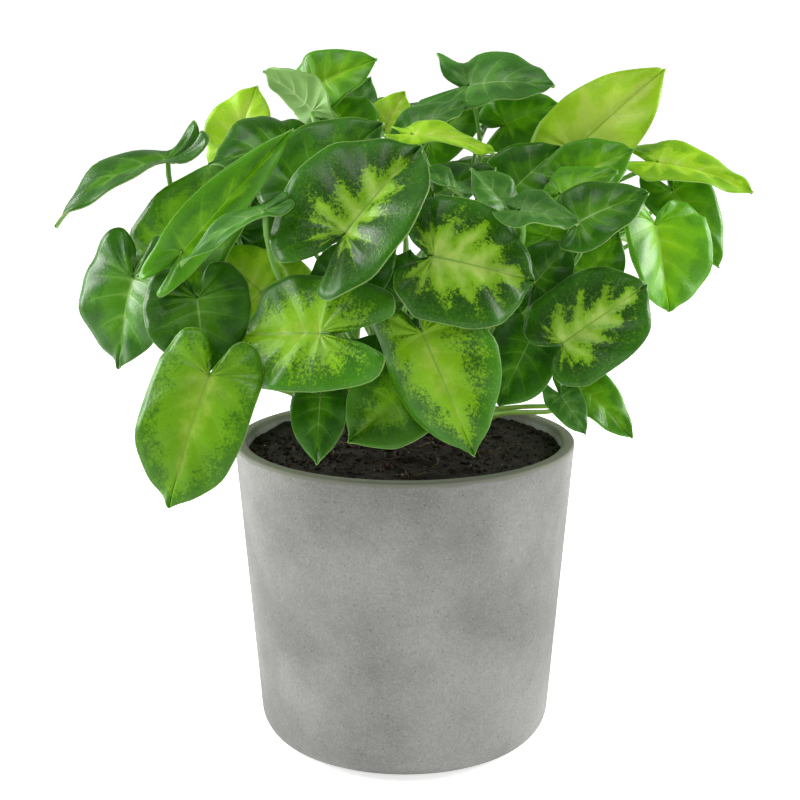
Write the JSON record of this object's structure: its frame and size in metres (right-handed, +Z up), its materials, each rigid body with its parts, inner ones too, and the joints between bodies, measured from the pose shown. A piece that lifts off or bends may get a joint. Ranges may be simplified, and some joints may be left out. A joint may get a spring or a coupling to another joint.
{
  "type": "arrowhead plant in a round concrete pot",
  "caption": "Bushy arrowhead plant with variegated arrow-shaped leaves on thin stalks, growing in a tapered round grey concrete pot.",
  "frame": {"origin": "middle of the pot's flat underside, on the surface that it stands on", "axes": "+Z up along the pot's axis; -Y towards the side with the largest variegated leaves; +X to the right of someone who looks along +Y"},
  "size_m": [0.28, 0.209, 0.2857],
  "materials": {
    "leaf": "satin",
    "stalk": "satin",
    "concrete": "matte",
    "soil": "matte"
  },
  "bodies": {
    "root": {"leaf_back_centre_high": "leaf", "leaf_back_centre_low": "leaf", "leaf_back_left_high": "leaf", "leaf_back_left_low": "leaf", "leaf_back_right_high": "leaf", "leaf_back_right_low": "leaf", "leaf_behind_front_right": "leaf", "leaf_below_top_right": "leaf", "leaf_centre_behind_dark": "leaf", "leaf_centre_right_grey": "leaf", "leaf_centre_right_grey_low": "leaf", "leaf_centre_small_dark": "leaf", "leaf_centre_variegated": "leaf", "leaf_far_left_drooping": "leaf", "leaf_far_left_lower": "leaf", "leaf_far_right_pale": "leaf", "leaf_front_centre_drip": "leaf", "leaf_front_left_star": "leaf", "leaf_front_right_round": "leaf", "leaf_left_big_pale": "leaf", "leaf_left_bright_folded": "leaf", "leaf_left_bright_strip": "leaf", "leaf_left_centre_yellow": "leaf", "leaf_left_dark_veined": "leaf", "leaf_left_long_narrow": "leaf", "leaf_low_centre_olive": "leaf", "leaf_low_left_dark": "leaf", "leaf_low_right_bright": "leaf", "leaf_low_right_grey": "leaf", "leaf_lower_left_hanging": "leaf", "leaf_mid_left_dark": "leaf", "leaf_right_bright_lower": "leaf", "leaf_right_bright_upper": "leaf", "leaf_right_centre_dark": "leaf", "leaf_right_centre_small": "leaf", "leaf_right_dark_folded": "leaf", "leaf_right_dark_veined": "leaf", "leaf_right_front_dark": "leaf", "leaf_right_hanging_behind": "leaf", "leaf_right_hanging_bright": "leaf", "leaf_right_top_lime": "leaf", "leaf_top_bright": "leaf", "leaf_top_grey_fold": "leaf", "leaf_top_grey_green": "leaf", "leaf_top_left_underside": "leaf", "leaf_top_mid_behind": "leaf", "leaf_top_right_centre": "leaf", "leaf_top_small_lime": "leaf", "leaf_upper_centre_dark": "leaf", "leaf_upper_left_glossy": "leaf", "leaf_upper_left_lime": "leaf", "leaf_upper_lime_fold": "leaf", "pot": "concrete", "potting_soil": "soil", "stalks_back_left": "stalk", "stalks_back_right": "stalk", "stalks_centre": "stalk", "stalks_front": "stalk", "stalks_left": "stalk", "stalks_right": "stalk"}
  },
  "joints": []
}
